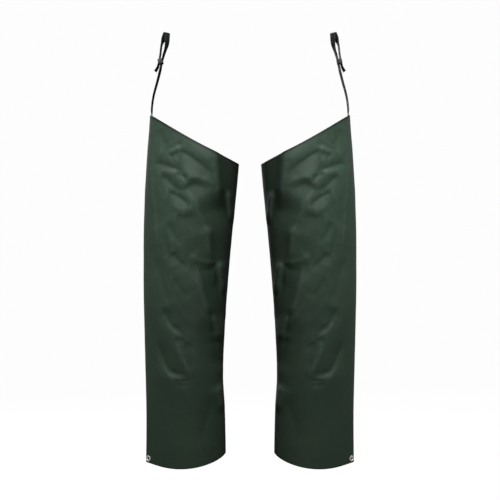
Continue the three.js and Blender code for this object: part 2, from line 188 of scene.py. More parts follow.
# Folds seen from the front: points (outwards, up) in millimetres from the outer side to the
# inner or from the top down, height in millimetres (minus is a valley), width on the upper or
# inner side of the line and width on its lower or outer side.
FRONT_FOLDS = [
    # the cloth turns away towards the inner seam
    ([(80, -250), (84, -310), (82, -350), (78, -400), (70, -450)], 17.0, 15, 60),
    # arch-shaped lobe under the top edge
    ([(220, -299), (190, -290), (156, -277)], -2.2, 9, 6),
    ([(206, -305), (188, -299), (166, -290)], 2.0, 6, 6),
    ([(200, -317), (187, -309), (172, -302)], -3.0, 7, 10),
    ([(186, -301), (162, -305), (130, -325), (101, -352), (88, -384)], -6.2, 10, 30),
    ([(158, -372), (142, -366), (116, -368), (82, -388)], 5.0, 28, 8),
    ([(166, -404), (148, -387), (126, -384), (100, -402)], -3.4, 6, 30),
    ([(176, -356), (165, -370), (158, -396)], 2.6, 6, 12),
    # drag lines from the outer side
    ([(242, -326), (214, -333), (190, -341), (158, -353)], -5.6, 13, 8),
    ([(226, -346), (200, -352), (176, -358)], 1.6, 8, 6),
    ([(226, -352), (202, -371), (184, -387), (160, -403)], -5.4, 12, 13),
    ([(186, -356), (168, -361), (150, -369)], -2.8, 5, 9),
    ([(206, -398), (184, -407), (164, -419), (142, -444)], -4.8, 7, 18),
    ([(196, -420), (172, -442), (146, -456)], 1.8, 14, 9),
    ([(184, -456), (160, -463), (128, -462)], -1.6, 8, 14),
    ([(226, -236), (214, -268), (200, -292)], -2.4, 10, 14),
    # ridge down the thigh, beyond which the cloth turns inwards
    ([(160, -396), (137, -430), (118, -468), (105, -505), (101, -566)], 8.0, 20, 60),
    ([(102, -474), (101, -520), (97, -572)], 5.0, 9, 24),
    ([(150, -550), (132, -564), (104, -571), (82, -574)], 3.6, 16, 10),
    ([(129, -576), (123, -620), (113, -660), (101, -704), (92, -756)], 8.0, 13, 50),
    ([(130, -594), (106, -592), (86, -592)], -2.2, 9, 26),
    ([(88, -590), (78, -640), (72, -690), (68, -740)], -6.0, 20, 18),
    # turned-back facets along the inner seam
    ([(56, -390), (50, -432), (42, -484)], 9.0, 6, 7),
    ([(66, -386), (59, -432), (51, -488)], -4.0, 5, 12),
    ([(76, -566), (70, -600), (59, -660)], 9.0, 7, 8),
    ([(88, -568), (81, -600), (71, -664)], -4.0, 6, 12),
    # long soft diagonals
    ([(214, -480), (206, -520), (196, -552), (184, -580)], -2.6, 12, 10),
    ([(196, -546), (176, -566), (150, -590)], -2.6, 9, 10),
    ([(208, -468), (188, -500), (170, -530)], -2.2, 11, 10),
    ([(240, -552), (222, -592), (208, -640), (196, -676)], -2.4, 14, 14),
    ([(192, -604), (168, -636), (148, -664)], -2.2, 14, 12),
    # knee
    ([(217, -676), (204, -706), (188, -731), (150, -756)], -5.0, 15, 12),
    ([(208, -714), (188, -744), (162, -762)], 2.2, 8, 10),
    ([(190, -756), (166, -766), (134, -790)], -2.4, 8, 12),
    ([(102, -680), (94, -722), (84, -762)], -4.2, 8, 7),
    ([(96, -696), (82, -736), (66, -770)], 4.6, 8, 8),
    ([(92, -746), (84, -790), (74, -848)], -4.6, 14, 16),
    # looped crease under the knee
    ([(228, -754), (218, -796), (202, -832), (184, -845), (146, -846)], -5.0, 13, 9),
    ([(220, -816), (204, -848), (182, -858), (154, -858)], 1.8, 6, 7),
    ([(186, -758), (170, -798), (156, -832), (142, -858)], 2.8, 14, 12),
    ([(162, -764), (148, -800), (136, -844)], -2.6, 14, 12),
    ([(190, -862), (168, -863), (146, -862)], -1.1, 3, 3),
    ([(188, -872), (168, -873), (146, -872)], -1.1, 3, 3),
    # shin
    ([(78, -870), (73, -905), (65, -950)], 7.0, 7, 9),
    ([(82, -896), (106, -955), (122, -1030)], -2.8, 24, 26),
    # crease along the outer side
    ([(250, -250), (243, -355), (231, -480), (224, -570)], 2.0, 9, 7),
]

BACK_FOLDS = [
    ([(236, -300), (190, -340), (130, -372)], -3.0, 10, 16),
    ([(234, -352), (190, -392), (140, -420)], -2.8, 9, 14),
    ([(216, -420), (170, -462), (110, -500)], -3.2, 12, 18),
    ([(222, -396), (176, -432), (128, -462)], 2.4, 12, 14),
    ([(90, -380), (70, -450), (60, -540)], -2.8, 12, 14),
    ([(190, -500), (150, -560), (128, -640)], 2.6, 20, 24),
    ([(226, -640), (186, -668), (132, -672), (84, -648)], -3.6, 9, 14),
    ([(220, -676), (180, -702), (134, -706), (88, -690)], -3.2, 9, 13),
    ([(222, -658), (184, -685), (134, -690), (88, -668)], 2.6, 10, 12),
    ([(210, -716), (170, -738), (120, -742)], -2.2, 9, 13),
    ([(214, -800), (180, -860), (168, -930)], -2.0, 16, 20),
    ([(110, -770), (96, -850), (92, -920)], 2.2, 16, 18),
]


# Share of a fold's height that goes straight to the front or the back, not along the normal.
STRAIGHT_OUT = 0.6

# How loosely the cloth hangs between its folds, at depths below the belt.
LOOSENESS = [(240, 0.4), (330, 1), (560, 0.8), (700, 0.9), (860, 0.8), (930, 0.3), (1080, 0.1)]

# Spare thread as a share of its cut length, and how firmly the folds are held, at depths.
SLACK = [(200, 0), (300, 0.016), (600, 0.012), (700, 0.016), (880, 0.012), (950, 0.002), (1100, 0)]
HOLD = [(200, 0.3), (260, 0.02), (880, 0.02), (960, 0.1), (1100, 0.3)]
SETTLE_ROUNDS = 12


def smooth_line(points, count=28):
    """A smooth line through a few points."""
    p = np.array(points, float)
    p = np.vstack([2 * p[0] - p[1], p, 2 * p[-1] - p[-2]])
    at = np.linspace(0, len(p) - 3 - 1e-9, count)
    i, t = at.astype(int), (at % 1)[:, None]
    a, b, c, d = p[i], p[i + 1], p[i + 2], p[i + 3]
    return 0.5 * (
        2 * b + (c - a) * t + (2 * a - 5 * b + 4 * c - d) * t**2 + (3 * b - a - 3 * c + d) * t**3
    )


def fold_height(xz, line, height, above, below):
    """How far one fold lifts the cloth at each front-view point."""
    path = smooth_line(line)
    start, step = path[:-1], np.diff(path, axis=0)
    length = np.linalg.norm(step, axis=1)
    near = 4 * max(above, below)
    low, high = path.min(0) - near, path.max(0) + near
    lifted = np.zeros(xz.shape[:2])
    inside = ((xz > low) & (xz < high)).all(-1)
    q = xz[inside]
    if not len(q):
        return lifted
    offset = q[:, None] - start
    share = np.clip((offset * step).sum(-1) / length**2, 0, 1)
    gap = offset - share[..., None] * step
    distance = np.linalg.norm(gap, axis=-1)
    nearest = distance.argmin(1)
    pick = np.arange(len(q))
    s = distance[pick, nearest]
    side = gap[pick, nearest, 0] * -step[nearest, 1] + gap[pick, nearest, 1] * step[nearest, 0]
    along = (nearest + share[pick, nearest]) / len(step)
    ends = np.clip(np.minimum(along, 1 - along) / 0.3, 0, 1)
    ends = ends * ends * (3 - 2 * ends)
    width = np.where(side > 0, below, above)
    soft = np.sqrt(s**2 + 1.4**2) - 1.4
    lifted[inside] = height * np.exp(-((soft / width) ** 1.2)) * ends
    return lifted


def value_noise(xz, size, seed):
    """Smooth noise from -1 to 1 with features of about the given sizes (across, down)."""
    rng = np.random.default_rng(seed)
    table = rng.uniform(-1, 1, (64, 64))
    p = xz / np.array(size)
    cell = np.floor(p).astype(int)
    t = p - cell
    t = t * t * (3 - 2 * t)
    a = table[cell[..., 0] % 64, cell[..., 1] % 64]
    b = table[(cell[..., 0] + 1) % 64, cell[..., 1] % 64]
    c = table[cell[..., 0] % 64, (cell[..., 1] + 1) % 64]
    d = table[(cell[..., 0] + 1) % 64, (cell[..., 1] + 1) % 64]
    upper = a + (b - a) * t[..., 0]
    lower = c + (d - c) * t[..., 0]
    return upper + (lower - upper) * t[..., 1]


def folded(base):
    """The tube with its folds pressed in."""
    out = (1 - STRAIGHT_OUT) * normals(base)
    out[..., 1] += STRAIGHT_OUT * np.sign(base[..., 1])
    front = -np.sin(np.arctan2(base[..., 1], 60.0))
    lifted = np.zeros(base.shape[:2])
    xz = base[..., [0, 2]]
    for facing, folds in ((1, FRONT_FOLDS), (-1, BACK_FOLDS)):
        reach = np.clip(0.5 + facing * front * 2.2, 0, 1)
        for line, height, above, below in folds:
            lifted += reach * fold_height(xz, line, height, above, below)
    slanted = np.stack([xz[..., 0] - 0.6 * xz[..., 1], xz[..., 1] + 0.4 * xz[..., 0]], -1)
    looseness = np.interp(-xz[..., 1], *zip(*LOOSENESS))
    lifted += looseness * (
        1.1 * value_noise(slanted, (46, 90), 3) + 0.5 * value_noise(slanted, (21, 44), 4)
    )
    return base + out * lifted[..., None]


def pull(grid, rest, rows, cols, stiffness, only_stretch=False):
    """One pass of the threads between each point and the one rows down and cols round."""
    if cols:
        other = np.roll(grid, -cols, 1)
    else:
        other = grid
    if rows:
        d = other[rows:] - grid[: -rows]
    else:
        d = other - grid
    length = np.linalg.norm(d, axis=-1)
    change = length - rest
    if only_stretch:
        change = np.minimum(change, 0)
    shift = d * (0.5 * stiffness * change / (length + 1e-9))[..., None]
    if rows:
        grid[: -rows] += shift
        back = np.roll(shift, cols, 1) if cols else shift
        grid[rows:] -= back
    else:
        grid += shift
        grid -= np.roll(shift, cols, 1)


def spans(grid, rows, cols):
    """Lengths of the threads from each point to the one rows down and cols round."""
    other = np.roll(grid, -cols, 1) if cols else grid
    d = other[rows:] - grid[: -rows] if rows else other - grid
    return np.linalg.norm(d, axis=-1)


def relax(base, target):
    """Lets the folded cloth settle so that its threads keep nearly their cut length."""
    height = base[..., 2]
    slack = np.interp(-height, *zip(*SLACK))
    links = [(0, 1, 0.8), (1, 0, 0.8), (1, 1, 0.35), (1, -1, 0.35)]
    rest = {}
    for rows, cols, _ in links:
        loose = slack[:-rows] if rows else slack
        rest[rows, cols] = spans(base, rows, cols) * (1 + loose)
    bend = {key: spans(base, *key) * 0.992 for key in ((0, 2), (2, 0))}
    grid = target.copy()
    hold = np.interp(-height, *zip(*HOLD))[..., None]
    for _ in range(SETTLE_ROUNDS):
        for rows, cols, stiffness in links:
            pull(grid, rest[rows, cols], rows, cols, stiffness)
        for key, length in bend.items():
            pull(grid, length, *key, 0.25, only_stretch=True)
        grid += hold * (target - grid)
    return grid


def cloth_grid():
    """One leg's cloth, folded and settled, with the outer seam as its first column."""
    base = tube()
    return relax(base, folded(base))


# ---------------------------------------------------------------- mesh helpers


def new_mesh(name, points, faces):
    """A smooth-shaded object in the scene."""
    mesh = bpy.data.meshes.new(name)
    mesh.from_pydata([tuple(p) for p in points], [], [tuple(f) for f in faces])
    mesh.update()
    mesh.polygons.foreach_set("use_smooth", [True] * len(mesh.polygons))
    piece = bpy.data.objects.new(name, mesh)
    bpy.context.scene.collection.objects.link(piece)
    return piece


def shell(name, outer, inner, flip, keep=True):
    """A thin closed shell between matching grids of points, from the cells that are kept."""
    rows, cols = outer.shape[:2]
    points = np.concatenate([outer.reshape(-1, 3), inner.reshape(-1, 3)])
    i = np.arange(rows * cols).reshape(rows, cols)
    quads = np.stack([i[:-1, :-1], i[1:, :-1], i[1:, 1:], i[:-1, 1:]], -1).reshape(-1, 4)
    quads = quads[np.broadcast_to(keep, (rows - 1, cols - 1)).ravel()]
    n = rows * cols
    back = quads[:, ::-1] + n
    start, end = quads.ravel(), np.roll(quads, -1, 1).ravel()
    edge = ~np.isin(start * n + end, end * n + start)
    start, end = start[edge], end[edge]
    rim = np.stack([start, start + n, end + n, end], -1)
    faces = np.concatenate([quads, back, rim])
    if flip:
        faces = faces[:, ::-1]
    piece = new_mesh(name, points, faces)
    inside = np.zeros(len(faces), np.int32)
    inside[len(quads) :] = 1
    piece.data.polygons.foreach_set("material_index", inside)
    return piece


def drop_loose(piece):
    """Takes away the points that no face uses."""
    mesh = bmesh.new()
    mesh.from_mesh(piece.data)
    loose = [v for v in mesh.verts if not v.link_faces]
    bmesh.ops.delete(mesh, geom=loose, context="VERTS")
    mesh.to_mesh(piece.data)
    mesh.free()


def eyelet_seat(side):
    """Where an eyelet's flange meets the cloth and the way it faces, from the part's own eyelet."""
    node = frame["nodes"][f"{side}_eyelet"]
    points = np.array([v.co for v in node.data.vertices], float)
    middle = (points.max(0) + points.min(0)) / 2
    _, _, axes = np.linalg.svd(points - points.mean(0), full_matrices=False)
    spread = [np.ptp((points - middle) @ a) for a in axes]
    normal = Vector(axes[int(np.argmin(spread))])
    if normal.x * SIDES[side] < 0:
        normal.negate()
    lift = (points @ np.array(normal)).max()
    ring = points[np.abs(points @ np.array(normal) - lift) < 0.0002].mean(0)
    return Vector(ring) - normal * EYELET_RISE * MM, normal


def clear_of_eyelet(side, grid):
    """Which cells of a grid, in metres, stay when the eyelet's hole is punched."""
    seat, normal = (np.array(v) for v in eyelet_seat(side))
    off = (grid[:-1, :-1] + grid[1:, :-1] + grid[1:, 1:] + grid[:-1, 1:]) / 4 - seat
    deep = off @ normal
    round_it = np.linalg.norm(off - deep[..., None] * normal, axis=-1)
    return (round_it > PUNCH * MM) | (np.abs(deep) > 6 * MM)


def add_uv(piece, coordinates):
    """Lays the cut cloth's own coordinates, in metres, on the mesh."""
    layer = piece.data.uv_layers.new(name="cloth")
    loops = np.zeros(len(piece.data.loops), np.int32)
    piece.data.loops.foreach_get("vertex_index", loops)
    layer.data.foreach_set("uv", coordinates[loops].astype(np.float32).ravel())


def mirror_if(points, sign):
    """Points of the right side, mirrored when the sign is that of the left."""
    out = np.array(points, float)
    out[..., 0] *= sign
    return out


# ---------------------------------------------------------------- materials


class Nodes:
    """Adds shader nodes with few words."""

    def __init__(self, name):
        self.material = bpy.data.materials.new(name)
        self.material.use_nodes = True
        self.tree = self.material.node_tree
        self.shader = self.tree.nodes["Principled BSDF"]

    def add(self, kind, **inputs):
        node = self.tree.nodes.new(kind)
        for key, value in inputs.items():
            self.give(node, key, value)
        return node

    def give(self, node, key, value):
        numbered = key[0] == "i" and key[1:].isdigit()
        socket = node.inputs[int(key[1:]) if numbered else key.replace("_", " ")]
        if isinstance(value, bpy.types.NodeSocket):
            self.tree.links.new(value, socket)
        else:
            socket.default_value = value

    def set(self, **inputs):
        for key, value in inputs.items():
            self.give(self.shader, key, value)

    def maths(self, operation, a, b=0.0):
        node = self.tree.nodes.new("ShaderNodeMath")
        node.operation = operation
        self.give(node, "i0", a)
        self.give(node, "i1", b)
        return node.outputs[0]

    def mix(self, share, a, b):
        node = self.tree.nodes.new("ShaderNodeMix")
        node.data_type = "RGBA"
        for index, value in ((0, share), (6, a), (7, b)):
            if isinstance(value, bpy.types.NodeSocket):
                self.tree.links.new(value, node.inputs[index])
            else:
                node.inputs[index].default_value = value
        return node.outputs[2]

    def ramp(self, value, low, high):
        node = self.tree.nodes.new("ShaderNodeMapRange")
        self.give(node, "Value", value)
        node.inputs["From Min"].default_value = low
        node.inputs["From Max"].default_value = high
        return node.outputs["Result"]

    def noise(self, vector, scale, detail=4.0, roughness=0.55):
        node = self.add(
            "ShaderNodeTexNoise", Vector=vector, Scale=scale, Detail=detail, Roughness=roughness
        )
        return node.outputs["Fac"]

    def bump(self, height, strength, distance, below=None):
        node = self.add("ShaderNodeBump", Height=height, Strength=strength, Distance=distance)
        if below is not None:
            self.give(node, "Normal", below)
        return node.outputs["Normal"]

    def uv(self):
        return self.add("ShaderNodeTexCoord").outputs["UV"]

    def place(self):
        return self.add("ShaderNodeTexCoord").outputs["Object"]

    def weave(self, vector, threads_per_metre):
        """Height of a plain weave: threads over and under in both directions."""
        split = self.add("ShaderNodeSeparateXYZ", Vector=vector)
        turns = threads_per_metre * math.pi
        x = self.maths("SINE", self.maths("MULTIPLY", split.outputs["X"], turns))
        y = self.maths("SINE", self.maths("MULTIPLY", split.outputs["Y"], turns))
        return self.maths("ABSOLUTE", self.maths("MULTIPLY", x, y))


def coated_fabric():
    """Dark green cloth with a satin coating, scuffed along its folds, with painted shade along its top
    edge.
    """
    m = Nodes("coated_fabric")
    uv = m.uv()
    cloudy = m.noise(uv, 5.0, 3.0)
    fine = m.noise(uv, 70.0, 5.0)
    deep, light = (0.022, 0.044, 0.028, 1), (0.029, 0.054, 0.035, 1)
    colour = m.mix(m.ramp(cloudy, 0.3, 0.7), deep, light)
    worn = m.add("ShaderNodeAttribute")
    worn.attribute_name = "worn"
    scuffed = m.maths("MULTIPLY", worn.outputs["Fac"], m.ramp(fine, 0.25, 0.75))
    colour = m.mix(scuffed, colour, (0.045, 0.075, 0.056, 1))
    below_edge = m.add("ShaderNodeSeparateXYZ", Vector=uv).outputs["Y"]
    # Painted shade: the colour goes near black from the top edge down 3.5 mm and fades out by 6.5 mm.
    painted_edge_shade = m.maths("MULTIPLY", m.ramp(below_edge, -0.0065, -0.0035), 0.85)
    m.set(Base_Color=m.mix(painted_edge_shade, colour, (0.004, 0.008, 0.006, 1)))
    rough = m.maths("ADD", m.maths("MULTIPLY", fine, 0.12), 0.50)
    m.set(Roughness=m.maths("ADD", rough, m.maths("MULTIPLY", scuffed, 0.1)))
    m.shader.inputs["Specular IOR Level"].default_value = 0.26
    m.shader.inputs["Sheen Weight"].default_value = 0.06
    m.shader.inputs["Sheen Roughness"].default_value = 0.5
    weave = m.bump(m.weave(uv, 1500.0), 0.12, 0.0002)
    puckered = m.bump(m.noise(uv, 26.0, 4.0), 0.10, 0.006, weave)
    m.set(Normal=m.bump(m.noise(uv, 160.0, 3.0), 0.10, 0.0008, puckered))
    return m.material


def fabric_inside():
    """The uncoated back of the cloth: matt, with an open weave."""
    m = Nodes("fabric_inside")
    uv = m.uv()
    colour = m.mix(m.noise(uv, 30.0), (0.005, 0.009, 0.007, 1), (0.009, 0.015, 0.011, 1))
    m.set(Base_Color=colour)
    m.shader.inputs["Roughness"].default_value = 0.9
    m.shader.inputs["Specular IOR Level"].default_value = 0.15
    m.set(Normal=m.bump(m.weave(uv, 1100.0), 0.5, 0.0003))
    return m.material


def seam_tape_material():
    """Thin smooth tape, a little lighter than the cloth's back."""
    m = Nodes("seam_tape")
    uv = m.uv()
    m.set(Base_Color=m.mix(m.noise(uv, 60.0), (0.022, 0.034, 0.027, 1), (0.034, 0.048, 0.040, 1)))
    m.set(Roughness=m.maths("ADD", m.maths("MULTIPLY", m.noise(uv, 120.0), 0.2), 0.35))
    m.set(Normal=m.bump(m.noise(uv, 90.0), 0.2, 0.0006))
    return m.material


def webbing_material():
    """Tight dark webbing: a herringbone of thick threads."""
    m = Nodes("webbing")
    uv = m.uv()
    split = m.add("ShaderNodeSeparateXYZ", Vector=uv)
    across = m.maths("ABSOLUTE", split.outputs["X"])
    along = m.maths("MULTIPLY", split.outputs["Y"], 2600.0)
    slanted = m.maths("ADD", m.maths("MULTIPLY", across, 900.0), along)
    threads = m.maths("ABSOLUTE", m.maths("SINE", slanted))
    ribs = m.maths("ABSOLUTE", m.maths("SINE", m.maths("MULTIPLY", split.outputs["X"], 2200.0)))
    height = m.maths("MULTIPLY", threads, m.maths("ADD", m.maths("MULTIPLY", ribs, 0.5), 0.5))
    fuzz = m.noise(uv, 400.0, 4.0)
    colour = m.mix(height, (0.010, 0.013, 0.010, 1), (0.031, 0.038, 0.031, 1))
    m.set(Base_Color=m.mix(m.ramp(fuzz, 0.45, 0.8), colour, (0.050, 0.060, 0.050, 1)))
    m.shader.inputs["Roughness"].default_value = 0.75
    m.shader.inputs["Specular IOR Level"].default_value = 0.2
    m.shader.inputs["Sheen Weight"].default_value = 0.03
    m.set(Normal=m.bump(height, 0.6, 0.0004))
    return m.material


def thread_material():
    """Dark green sewing thread, a little lighter than the cloth."""
    m = Nodes("thread")
    twist = m.noise(m.place(), 1500.0, 2.0)
    m.set(Base_Color=m.mix(twist, (0.016, 0.032, 0.021, 1), (0.028, 0.048, 0.034, 1)))
    m.shader.inputs["Roughness"].default_value = 0.6
    m.shader.inputs["Sheen Weight"].default_value = 0.3
    return m.material


def keeper_plastic():
    """Moulded acetal with a fine spark-eroded grain."""
    m = Nodes("keeper_plastic")
    place = m.place()
    m.set(Base_Color=m.mix(m.noise(place, 200.0), (0.006, 0.007, 0.006, 1), (0.012, 0.014, 0.012, 1)))
    m.set(Roughness=m.maths("ADD", m.maths("MULTIPLY", m.noise(place, 900.0), 0.2), 0.3))
    m.set(Normal=m.bump(m.noise(place, 2600.0, 2.0), 0.15, 0.0002))
    return m.material


def eyelet_metal():
    """Nickel-plated brass, faintly scratched."""
    m = Nodes("eyelet_metal")
    place = m.place()
    m.set(Base_Color=m.mix(m.noise(place, 300.0), (0.80, 0.79, 0.75, 1), (0.92, 0.91, 0.88, 1)))
    m.shader.inputs["Metallic"].default_value = 0.35
    m.set(Roughness=m.maths("ADD", m.maths("MULTIPLY", m.noise(place, 1400.0, 5.0), 0.22), 0.2))
    m.set(Normal=m.bump(m.noise(place, 2200.0, 3.0), 0.1, 0.0001))
    return m.material


MATERIAL = {
    "cloth": coated_fabric(),
    "inside": fabric_inside(),
    "tape": seam_tape_material(),
    "webbing": webbing_material(),
    "thread": thread_material(),
    "plastic": keeper_plastic(),
    "metal": eyelet_metal(),
}

# ---------------------------------------------------------------- cloth pieces


class Cloth:
    """One settled leg, and where its flat coordinates lie on it."""

    def __init__(self):
        self.grid = cloth_grid()
        self.out = normals(self.grid)
        step = np.linalg.norm(np.roll(self.grid, -1, 1) - self.grid, axis=-1)
        run = np.concatenate([np.zeros((ROWS + 1, 1)), np.cumsum(step, 1)], 1)
        self.across = run - run[:, :1]
        fall = np.linalg.norm(np.diff(self.grid, axis=0), axis=-1)
        self.down = np.concatenate([np.zeros((1, 2 * COLUMNS)), np.cumsum(fall, 0)], 0)
        self.worn = self.crest()

    def crest(self):
        """How sharply each point stands up from its neighbours, from 0 to 1."""
        height = np.zeros(self.grid.shape[:2])
        for reach in (1, 2, 3):
            for rows, cols in ((0, reach), (reach, 0), (reach, reach), (reach, -reach)):
                a = np.roll(self.grid, (rows, cols), (0, 1))
                b = np.roll(self.grid, (-rows, -cols), (0, 1))
                height += ((self.grid - (a + b) / 2) * self.out).sum(-1) / reach
        height[:4] = height[-4:] = 0
        sharpest = 2.2
        return np.clip(height / sharpest, 0, 1)

    def at(self, column, row):
        """Points and normals at fractional columns and rows."""
        column, row = np.asarray(column, float), np.clip(np.asarray(row, float), 0, ROWS - 1e-6)
        c, r = np.floor(column).astype(int), row.astype(int)
        s, t = (column - c)[..., None], (row - r)[..., None]
        left, right = c % (2 * COLUMNS), (c + 1) % (2 * COLUMNS)

        def blend(g):
            upper = g[r, left] * (1 - s) + g[r, right] * s
            lower = g[r + 1, left] * (1 - s) + g[r + 1, right] * s
            return upper * (1 - t) + lower * t

        n = blend(self.out)
        return blend(self.grid), n / np.linalg.norm(n, axis=-1, keepdims=True)

    def row_below_top(self, column, depth):
        """The row that lies depth below the top edge, at each column."""
        c = np.round(np.asarray(column)).astype(int) % (2 * COLUMNS)
        rows = np.arange(ROWS + 1)
        return np.array([np.interp(depth, self.down[:, k], rows) for k in c])

    def row_above_hem(self, column, depth):
        """The row that lies depth above the hem, at each column."""
        c = np.round(np.asarray(column)).astype(int) % (2 * COLUMNS)
        rows = np.arange(ROWS + 1)
        return np.array([np.interp(self.down[-1, k] - depth, self.down[:, k], rows) for k in c])


def panel(cloth, side, sign, front):
    """One half of the leg tube, hung as a sheet."""
    c = np.arange(COLUMNS + 1) if front else COLUMNS + np.arange(COLUMNS + 1)
    take = c % (2 * COLUMNS)
    outer, out = cloth.grid[:, take], cloth.out[:, take]
    inner = outer - FABRIC * out
    name = f"{side}_{'front' if front else 'back'}_cloth"
    points = mirror_if(outer, sign) * MM
    keep = clear_of_eyelet(side, points) if front else True
    piece = shell(name, points, mirror_if(inner, sign) * MM, sign < 0, keep)
    piece.data.materials.append(MATERIAL["cloth"])
    piece.data.materials.append(MATERIAL["inside"])
    across, down = cloth.across[:, c], cloth.down[:, take]
    flat = np.stack([across, -down], -1).reshape(-1, 2) * MM
    add_uv(piece, np.concatenate([flat, flat]))
    worn = piece.data.attributes.new("worn", "FLOAT", "POINT")
    crest = cloth.worn[:, take].ravel()
    worn.data.foreach_set("value", np.concatenate([crest, 0 * crest]).astype(np.float32))
    drop_loose(piece)
    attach(piece, f"{side}_leg")
    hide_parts(f"{side}_{'front' if front else 'back'}_panel")
    return piece


def strip(cloth, side, sign, name, columns, rows, depth, thickness, material, node, slot):
    """A strip lying inside the cloth: columns and rows are matching grids of places on it."""
    points, out = cloth.at(columns, rows)
    outer = points - depth * out
    inner = points - (depth + thickness) * out
    face = mirror_if(outer, sign) * MM
    keep = clear_of_eyelet(side, face)
    piece = shell(f"{side}_{name}", face, mirror_if(inner, sign) * MM, sign < 0, keep)
    piece.data.materials.append(MATERIAL[material])
    piece.data.materials.append(MATERIAL[material])
    flat = np.stack([columns * CELL, -rows * CELL], -1).reshape(-1, 2) * MM
    add_uv(piece, np.concatenate([flat, flat]))
    drop_loose(piece)
    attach(piece, f"{side}_leg")
    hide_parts(f"{side}_{node}")
    return piece


def hem_band(cloth, side, sign, top):
    """The cloth turned in and stitched down round the top edge or the hem."""
    columns = np.arange(2 * COLUMNS + 1, dtype=float)
    share = np.linspace(0, 1, 9)[:, None]
    if top:
        start, end = np.full(len(columns), 0.15), cloth.row_below_top(columns, HEM_DEPTH)
    else:
        start, end = np.full(len(columns), ROWS - 0.15), cloth.row_above_hem(columns, HEM_DEPTH)
    rows = start * (1 - share) + end * share
    name = "top_hem" if top else "bottom_hem"
    grid = np.broadcast_to(columns, rows.shape)
    depth, node = FABRIC + 0.15, f"{name}_band"
    return strip(cloth, side, sign, name, grid, rows, depth, 0.6, "inside", node, "coated_fabric")


def seam_tape(cloth, side, sign, outer):
    """The strip inside one seam, from the top hem band to the bottom one."""
    middle = 0 if outer else COLUMNS
    half = TAPE_WIDTH / 2 / CELL
    rows = np.linspace(0, 1, ROWS + 1)[:, None]
    start = cloth.row_below_top([middle], HEM_DEPTH + 2)[0]
    end = cloth.row_above_hem([middle], HEM_DEPTH + 2)[0]
    columns = np.broadcast_to(middle + np.linspace(-half, half, 9), (ROWS + 1, 9))
    rows = np.broadcast_to(start + (end - start) * rows, (ROWS + 1, 9))
    name = "outer_seam_tape" if outer else "inner_seam_tape"
    place = (columns, rows, FABRIC + 0.1, TAPE_THICKNESS)
    return strip(cloth, side, sign, f"{name}_strip", *place, "tape", name, "fabric_lining")


def stitches(name, points, along, out, length=2.5, radius=0.27):
    """A run of threads: each a small bent capsule lying on the cloth."""
    sides, rings = 6, 5
    turn = np.linspace(0, 2 * math.pi, sides, endpoint=False)
    run = np.linspace(-1, 1, rings)
    fat = np.sqrt(np.clip(1 - run**2 * 0.92, 0, 1))
    lift = (1 - run**2) * 0.3 - 0.2
    side = np.cross(out, along)
    spots = (
        points[:, None, None]
        + along[:, None, None] * (run * length / 2)[None, :, None, None]
        + out[:, None, None]
        * (lift[None, :, None] + radius * fat[None, :, None] * np.sin(turn)[None, None, :])[..., None]
        + side[:, None, None] * (radius * fat[None, :, None] * np.cos(turn)[None, None, :])[..., None]
    )
    count = len(points)
    i = np.arange(rings * sides).reshape(rings, sides)
    j = np.roll(i, -1, 1)
    quads = np.stack([i[:-1], j[:-1], j[1:], i[1:]], -1).reshape(-1, 4)
    faces = (quads[None] + (np.arange(count) * rings * sides)[:, None, None]).reshape(-1, 4)
    return new_mesh(name, spots.reshape(-1, 3) * MM, faces)


def stitch_run(cloth, columns, rows, spacing=3.2):
    """Even places along a line given as columns and rows: points, directions, normals."""
    line, _ = cloth.at(columns, rows)
    run = np.concatenate([[0], np.cumsum(np.linalg.norm(np.diff(line, axis=0), axis=1))])
    at = np.arange(spacing / 2, run[-1], spacing)
    c, r = np.interp(at, run, columns), np.interp(at, run, rows)
    points, out = cloth.at(c, r)
    ahead, _ = cloth.at(np.interp(at + 0.4, run, columns), np.interp(at + 0.4, run, rows))
    behind, _ = cloth.at(np.interp(at - 0.4, run, columns), np.interp(at - 0.4, run, rows))
    along = ahead - behind
    along -= (along * out).sum(-1, keepdims=True) * out
    along /= np.linalg.norm(along, axis=-1, keepdims=True) + 1e-9
    return points, along, out


def leg_stitching(cloth, side, sign):
    """Every visible row of stitches on one leg."""
    around = np.linspace(0, 2 * COLUMNS, 2 * COLUMNS + 1)
    down = np.linspace(0, ROWS, ROWS + 1)
    runs = [
        (around, cloth.row_below_top(around, HEM_DEPTH - 3)),
        (around, cloth.row_above_hem(around, HEM_DEPTH - 3)),
    ]
    for middle in (0, COLUMNS):
        for offset in (-1.9, 1.9):
            runs.append((np.full(ROWS + 1, middle + offset), down))
    half_width, height = BOX_WIDTH / 2 / CELL, BOX_HEIGHT / CELL
    corners = [(-1, 0), (1, 0), (1, 1), (-1, 1), (-1, 0), (1, 1), (1, 0), (-1, 1)]
    columns = [half_width * x for x, _ in corners]
    rows = [1.6 + height * y for _, y in corners]
    fine = np.linspace(0, len(corners) - 1, 120)
    runs.append((np.interp(fine, range(8), columns), np.interp(fine, range(8), rows)))
    parts = [stitch_run(cloth, np.asarray(c, float), np.asarray(r, float)) for c, r in runs]
    points, along, out = (mirror_if(np.concatenate(p), sign) for p in zip(*parts))
    piece = stitches(f"{side}_stitching", points, along, out)
    piece.data.materials.append(MATERIAL["thread"])
    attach(piece, f"{side}_leg")
    return piece


# ---------------------------------------------------------------- webbing


def joint(name):
    """The frame's own row for one joint."""
    return next(j for j in frame["joints"] if j["name"] == name)


